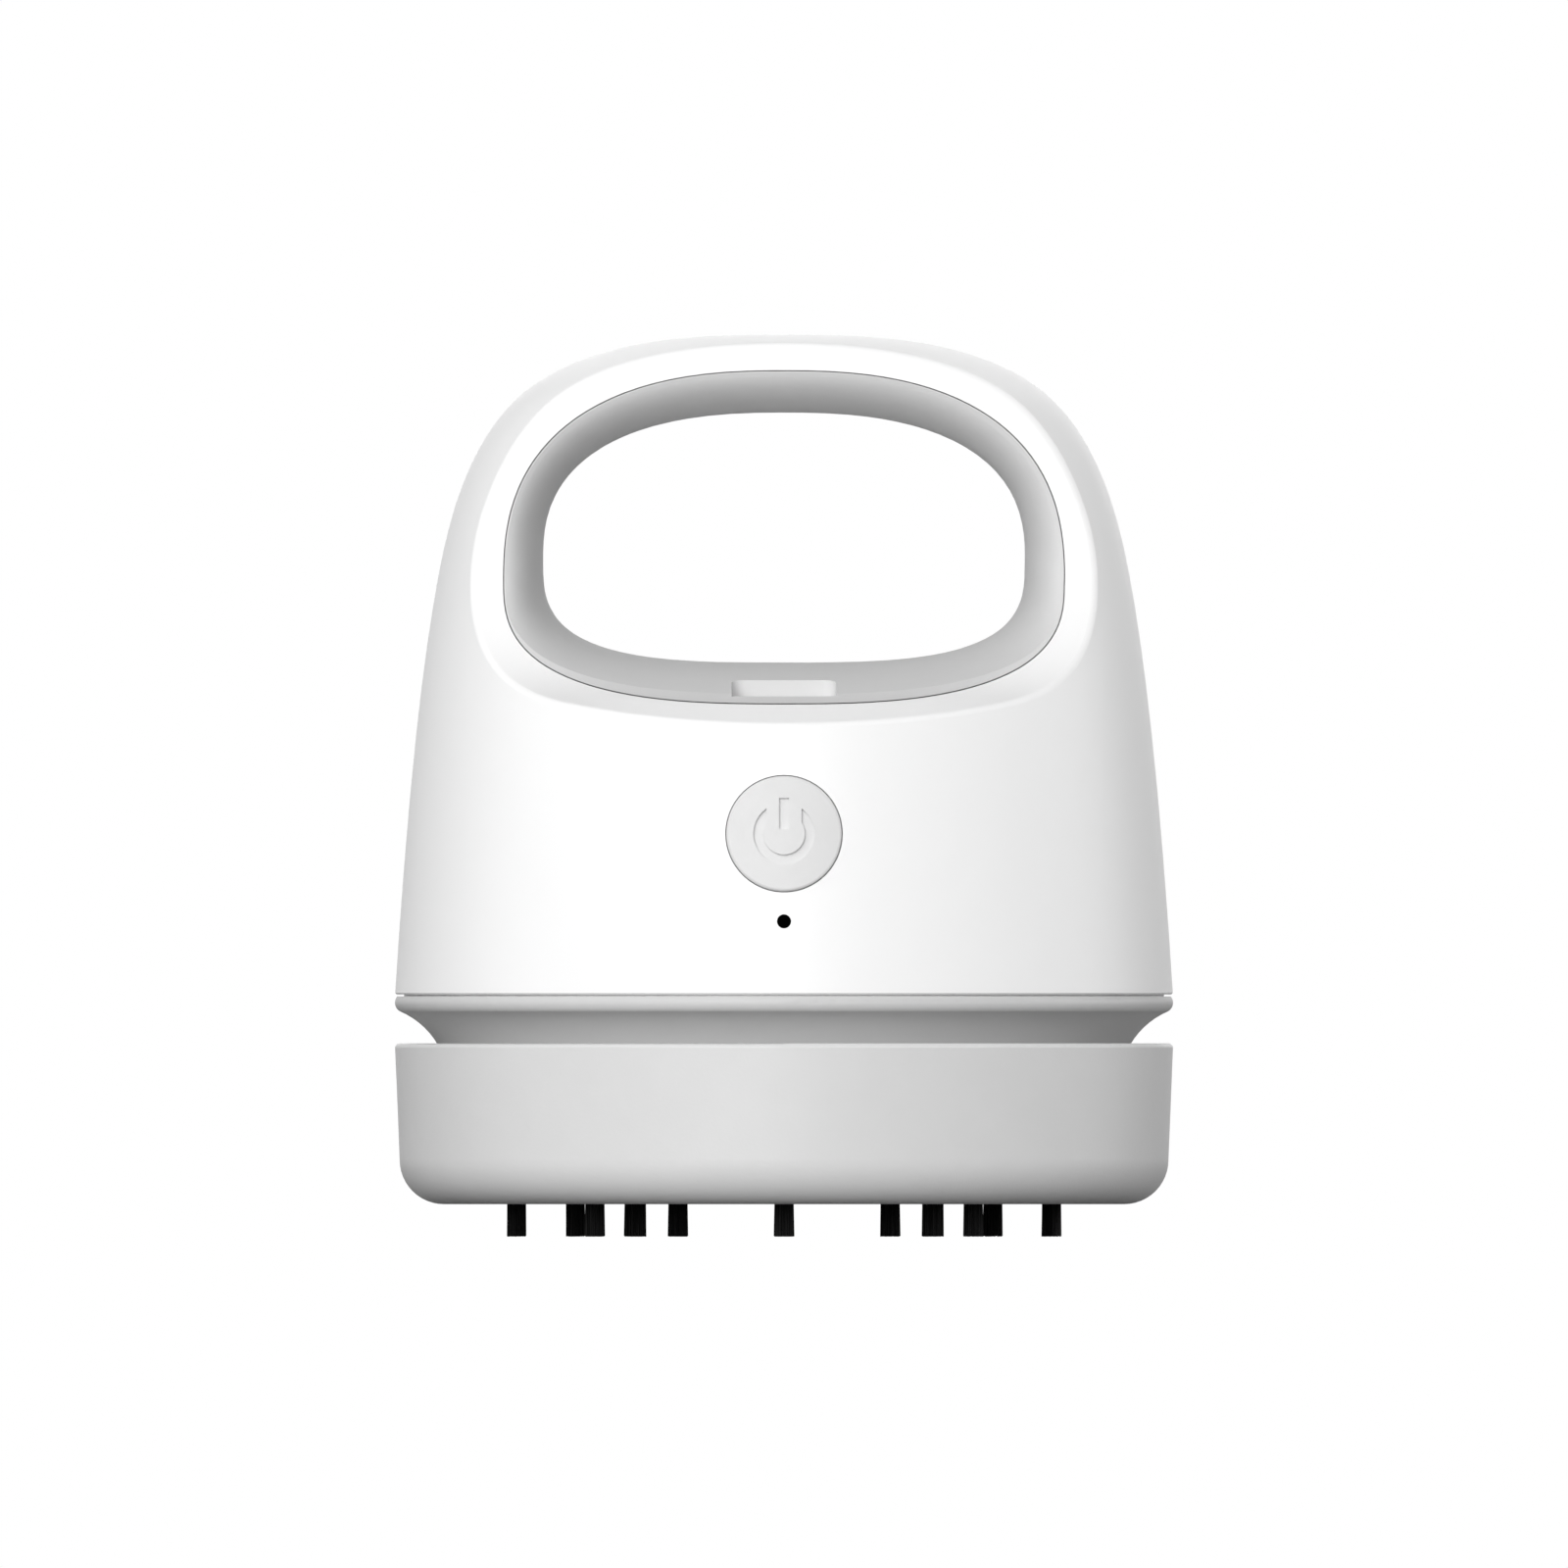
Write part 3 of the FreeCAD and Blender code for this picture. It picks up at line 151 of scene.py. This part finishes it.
def mixed(tree, factor, first, second):
    mix = add(tree, "Mix", {"data_type": "RGBA"}, Factor=factor)
    connect(tree, mix.inputs[6], first)
    connect(tree, mix.inputs[7], second)
    return mix.outputs[2]


def uneven(tree, factor, colour, darkest, lightest):
    """The colour times a share that follows factor from darkest to lightest."""
    return mixed(tree, factor, shaded(colour, darkest), shaded(colour, lightest))


def bumped(tree, height, depth, normal=None):
    bump = add(tree, "Bump", Height=height, Strength=1.0, Distance=depth)
    if normal:
        tree.links.new(normal, bump.inputs["Normal"])
    return bump.outputs["Normal"]


def surface(name, build, **fixed):
    """A material whose principled shader gets fixed values and what build links to it."""
    material = bpy.data.materials.new(name)
    material.use_nodes = True
    tree = material.node_tree
    shader = tree.nodes["Principled BSDF"]
    for key, value in fixed.items():
        shader.inputs[key.replace("_", " ")].default_value = value
    for key, value in build(tree).items():
        tree.links.new(value, shader.inputs[key.replace("_", " ")])
    return material


def moulded(name, colour, roughness, grain_scale, grain_depth, mottle=0.015, **fixed):
    """Moulded plastic: fine eroded grain, slow waviness, and slight unevenness of colour and gloss."""
    def build(tree):
        wavy = bumped(tree, noise(tree, WAVE_SCALE), WAVE_DEPTH)
        gloss = noise(tree, GLOSS_SCALE, 4.0)
        return {
            "Base_Color": uneven(tree, noise(tree, MOTTLE_SCALE, 4.0), colour, 1 - mottle, 1 + mottle),
            "Roughness": between(tree, gloss, roughness - GLOSS_CHANGE, roughness + GLOSS_CHANGE),
            "Normal": bumped(tree, noise(tree, grain_scale, 3.0), grain_depth, wavy),
        }
    return surface(name, build, **fixed)


def metal(name, colour, roughness, brushed=(1.0, 1.0, 1.0)):
    """Metal with fine marks, drawn out along one axis where it is brushed or turned."""
    def build(tree):
        marks = noise(tree, METAL_MARK_SCALE, 3.0, brushed)
        return {
            "Base_Color": uneven(tree, noise(tree, METAL_STAIN_SCALE, 4.0), colour, 0.88, 1.08),
            "Roughness": between(tree, marks, roughness - 0.08, roughness + 0.1),
            "Normal": bumped(tree, marks, METAL_MARK_DEPTH),
        }
    return surface(name, build, Metallic=1.0)


def pressed(name, colour, roughness, grain_scale, depth, speckle=0.3, metallic=0.0):
    """Ferrite, carbon or sintered bronze: a packed grain with pores."""
    def build(tree):
        place = add(tree, "TexCoord").outputs["Object"]
        cells = add(tree, "TexVoronoi", Vector=place, Scale=grain_scale)
        gloss = noise(tree, grain_scale, 3.0)
        return {
            "Base_Color": uneven(tree, cells.outputs["Color"], colour, 1 - speckle, 1 + speckle),
            "Roughness": between(tree, gloss, roughness - 0.08, roughness + 0.08),
            "Normal": bumped(tree, cells.outputs["Distance"], depth),
        }
    return surface(name, build, Metallic=metallic)


def wound_copper(name, colour):
    """Enamelled wire laid side by side."""
    def build(tree):
        place = add(tree, "TexCoord").outputs["Object"]
        across = {"bands_direction": "X"}
        wires = add(tree, "TexWave", across, Vector=place, Scale=WIRE_SCALE, Distortion=1.0)
        return {
            "Base_Color": uneven(tree, noise(tree, WIRE_SHADE_SCALE), colour, 0.7, 1.1),
            "Roughness": between(tree, wires.outputs["Fac"], 0.28, 0.45),
            "Normal": bumped(tree, wires.outputs["Fac"], WIRE_DEPTH),
        }
    return surface(name, build, Metallic=0.9)


def paper(name, colour):
    """Filter paper: matted fibres that run mostly one way."""
    def build(tree):
        fibres = noise(tree, FIBRE_SCALE, 5.0, FIBRE_STRETCH)
        return {
            "Base_Color": uneven(tree, noise(tree, FIBRE_CLUMP_SCALE, 3.0), colour, 0.93, 1.03),
            "Roughness": between(tree, fibres, 0.85, 0.98),
            "Normal": bumped(tree, fibres, FIBRE_DEPTH),
        }
    return surface(name, build, Sheen_Weight=0.15)


def circuit_board(name, mask, track):
    """Green solder mask over a net of tracks, with a faint glass weave."""
    def build(tree):
        place = add(tree, "TexCoord").outputs["Object"]
        lanes = add(tree, "TexBrick", Vector=place, Color1=mask, Color2=mask, Mortar=track,
                    Scale=TRACK_SCALE, Mortar_Size=TRACK_WIDTH)
        weave = add(tree, "TexWave", {"bands_direction": "DIAGONAL"}, Vector=place, Scale=WEAVE_SCALE)
        raised = bumped(tree, lanes.outputs["Fac"], TRACK_DEPTH)
        return {
            "Base_Color": lanes.outputs["Color"],
            "Roughness": between(tree, noise(tree, BOARD_GLOSS_SCALE), 0.25, 0.4),
            "Normal": bumped(tree, weave.outputs["Fac"], WEAVE_DEPTH, raised),
        }
    return surface(name, build)


def filament_nylon(name):
    """Black nylon whose shade changes a little from one filament to the next."""
    def build(tree):
        along = noise(tree, FILAMENT_SHADE_SCALE, 1.0, FILAMENT_SHADE_STRETCH)
        return {
            "Base_Color": mixed(tree, along, grey(0.002), grey(0.008)),
            "Roughness": between(tree, along, 0.5, 0.7),
        }
    return surface(name, build, Specular_IOR_Level=0.15)


def finishes():
    """One material for each material slot of the record.

    A moulded finish's numbers are its roughness, grain scale, grain depth and unevenness of colour.
    """
    soft_gloss = {"Specular_IOR_Level": 0.25}
    low_gloss = {"Specular_IOR_Level": 0.12}
    no_gloss = {"Specular_IOR_Level": 0.0}
    return {
        "housing_white": moulded("satin_white", grey(0.93), 0.42, 5200.0, 0.000004, 0.006, **soft_gloss),
        "liner_grey": moulded("matt_liner_grey", grey(0.68), 0.65, 4200.0, 0.000008, **low_gloss),
        "base_grey": moulded("matt_base_grey", grey(0.61), 0.5, 4200.0, 0.000008, **soft_gloss),
        "cup_grey": moulded("grained_cup_grey", grey(0.69), 0.4, 2400.0, 0.000012, 0.02, **soft_gloss),
        "button_grey": moulded("satin_button_grey", grey(0.7), 0.42, 5200.0, 0.000005, **soft_gloss),
        "inner_grey": moulded("inner_grey_plastic", grey(0.33), 0.5, 2600.0, 0.00001),
        "inner_white": moulded("inner_white_plastic", grey(0.8), 0.45, 2600.0, 0.000008),
        "rubber_black": moulded("matt_rubber", grey(0.03), 0.75, 3200.0, 0.00002, 0.2),
        "bristle_black": filament_nylon("black_nylon"),
        "steel": metal("plain_steel", grey(0.58), 0.35, (1.0, 1.0, 0.05)),
        "zinc": metal("zinc_plate", (0.7, 0.7, 0.73, 1.0), 0.3),
        "bronze": pressed("sintered_bronze", (0.6, 0.45, 0.27, 1.0), 0.45, 9000.0, 0.00001, 0.2, 1.0),
        "copper": wound_copper("enamelled_copper", (0.72, 0.34, 0.16, 1.0)),
        "magnet": pressed("ferrite", grey(0.07), 0.6, 7000.0, 0.000012),
        "carbon": pressed("pressed_carbon", grey(0.03), 0.55, 9000.0, 0.000008),
        "filter_paper": paper("pleated_paper", (0.84, 0.83, 0.79, 1.0)),
        "board_green": circuit_board("solder_mask", (0.02, 0.12, 0.05, 1.0), (0.05, 0.24, 0.1, 1.0)),
        "switch_black": moulded("black_plastic", grey(0.02), 0.45, 3000.0, 0.000008, 0.1),
        "smoke_clear": moulded("smoked_light_pipe", grey(0.001), 0.5, 2000.0, 0.000002, 0.1, **no_gloss),
        "led_white": moulded("clear_resin", (0.85, 0.84, 0.74, 1.0), 0.2, 1800.0, 0.000006, 0.03),
        "cell_wrap": moulded("shrink_wrap", (0.05, 0.14, 0.34, 1.0), 0.25, 1200.0, 0.00002, 0.06),
        "wire_red": moulded("wire_insulation", (0.42, 0.02, 0.015, 1.0), 0.45, 2500.0, 0.00001, 0.08),
    }


def dress_cad_nodes(materials):
    """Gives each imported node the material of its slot."""
    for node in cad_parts.values():
        for place in node.material_slots:
            slot_name = place.material.name.split(".")[0]
            place.material = materials[slot_name]


def tuft_filaments(mesh, centre, draws):
    """Packs straight filaments into one tuft on a sunflower spiral, with uneven tips."""
    golden_turn = math.pi * (3 - math.sqrt(5))
    for i in range(FILAMENTS_PER_TUFT):
        reach = (TUFT_RADIUS - FILAMENT_RADIUS) * math.sqrt((i + 0.5) / FILAMENTS_PER_TUFT)
        turn = i * golden_turn
        offset = Vector((reach * math.cos(turn), reach * math.sin(turn), 0))
        lean = Vector((draws.uniform(-1, 1), draws.uniform(-1, 1), 0)) * FILAMENT_RADIUS
        tip_z = draws.uniform(0, FILAMENT_LENGTH_CHANGE)
        top = centre + offset + Vector((0, 0, TUFT_TOP))
        tip = centre + offset * (1 + FILAMENT_TIP_SPREAD) + lean + Vector((0, 0, tip_z))
        add_filament(mesh, top, tip)


def add_filament(mesh, top, tip):
    """One closed filament, a little thinner at its tip."""
    rings = []
    for place, radius in ((top, FILAMENT_RADIUS), (tip, FILAMENT_RADIUS * FILAMENT_TAPER)):
        corners = []
        for side in range(FILAMENT_SIDES):
            angle = 2 * math.pi * side / FILAMENT_SIDES
            offset = Vector((radius * math.cos(angle), radius * math.sin(angle), 0))
            corners.append(mesh.verts.new(place + offset))
        rings.append(corners)
    for side in range(FILAMENT_SIDES):
        after = (side + 1) % FILAMENT_SIDES
        mesh.faces.new((rings[0][side], rings[0][after], rings[1][after], rings[1][side]))
    mesh.faces.new(rings[0])
    mesh.faces.new(list(reversed(rings[1])))


def finish_mesh(mesh, name, material):
    """Turns the mesh into an object of the scene."""
    bmesh.ops.recalc_face_normals(mesh, faces=mesh.faces)
    data = bpy.data.meshes.new(name)
    mesh.to_mesh(data)
    mesh.free()
    data.materials.append(material)
    piece = bpy.data.objects.new(name, data)
    bpy.context.scene.collection.objects.link(piece)
    return piece


def make_bristles(materials):
    """Loose filaments in place of the plain tufts, one piece for each row."""
    for row in range(TUFT_ROWS):
        draws = random.Random(row + 1)
        mesh = bmesh.new()
        angle = 2 * math.pi * row / TUFT_ROWS
        for i in range(TUFTS_PER_ROW):
            reach = TUFT_FIRST_RADIUS + TUFT_PITCH * i
            centre = Vector((reach * math.cos(angle), reach * math.sin(angle), 0))
            tuft_filaments(mesh, centre, draws)
        piece = finish_mesh(mesh, f"filaments_{row + 1}", materials["bristle_black"])
        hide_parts(f"bristle_row_{row + 1}")
        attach(piece, "dust_cup_unit")


def make_floor():
    """A floor that looks pale, and sends little light up under the object."""
    def build(tree):
        seen = add(tree, "LightPath").outputs["Is Camera Ray"]
        return {"Base_Color": mixed(tree, seen, grey(FLOOR_BOUNCE), grey(FLOOR_SEEN))}
    mesh = bmesh.new()
    bmesh.ops.create_circle(mesh, cap_ends=True, segments=FLOOR_CORNERS, radius=FLOOR_RADIUS)
    finish_mesh(mesh, "floor", surface("pale_floor", build, Roughness=FLOOR_ROUGHNESS))


def larger(tree, first, second):
    """The larger of two values."""
    node = add(tree, "Math", {"operation": "MAXIMUM"})
    tree.links.new(first, node.inputs[0])
    tree.links.new(second, node.inputs[1])
    return node.outputs[0]


def make_world():
    """White where it is seen, even in a reflection or through glass, and a plain light elsewhere."""
    world = bpy.data.worlds.new("studio")
    bpy.context.scene.world = world
    world.use_nodes = True
    tree = world.node_tree
    rays = add(tree, "LightPath").outputs
    mirrored = larger(tree, rays["Is Glossy Ray"], rays["Is Transmission Ray"])
    seen = larger(tree, rays["Is Camera Ray"], mirrored)
    light = tree.nodes["Background"]
    light.inputs["Color"].default_value = WHITE
    light.inputs["Strength"].default_value = WORLD_STRENGTH
    white = add(tree, "Background", Color=WHITE, Strength=BACKGROUND_STRENGTH)
    mix = add(tree, "MixShader")
    for place, value in enumerate((seen, light.outputs[0], white.outputs[0])):
        tree.links.new(value, mix.inputs[place])
    tree.links.new(mix.outputs[0], tree.nodes["World Output"].inputs["Surface"])


def make_lamps():
    for name, place, width, height, watts in LAMPS:
        data = bpy.data.lights.new(name, "AREA")
        data.shape = "RECTANGLE"
        data.size = width
        data.size_y = height
        data.energy = watts
        lamp = bpy.data.objects.new(name, data)
        lamp.location = place
        aim = Vector(LAMP_TARGET) - Vector(place)
        lamp.rotation_euler = aim.to_track_quat("-Z", "Y").to_euler()
        bpy.context.scene.collection.objects.link(lamp)


def make_camera():
    data = bpy.data.cameras.new("front_camera")
    data.type = "ORTHO"
    data.ortho_scale = PICTURE_PIXELS * METRES_PER_PIXEL
    camera = bpy.data.objects.new("front_camera", data)
    camera.location = (0, -CAMERA_DISTANCE, AIM_HEIGHT)
    camera.rotation_euler = (math.pi / 2, 0, 0)
    bpy.context.scene.collection.objects.link(camera)
    bpy.context.scene.camera = camera


def main():
    bpy.context.scene.view_settings.view_transform = "Standard"
    materials = finishes()
    dress_cad_nodes(materials)
    make_bristles(materials)
    make_floor()
    make_world()
    make_lamps()
    make_camera()


main()
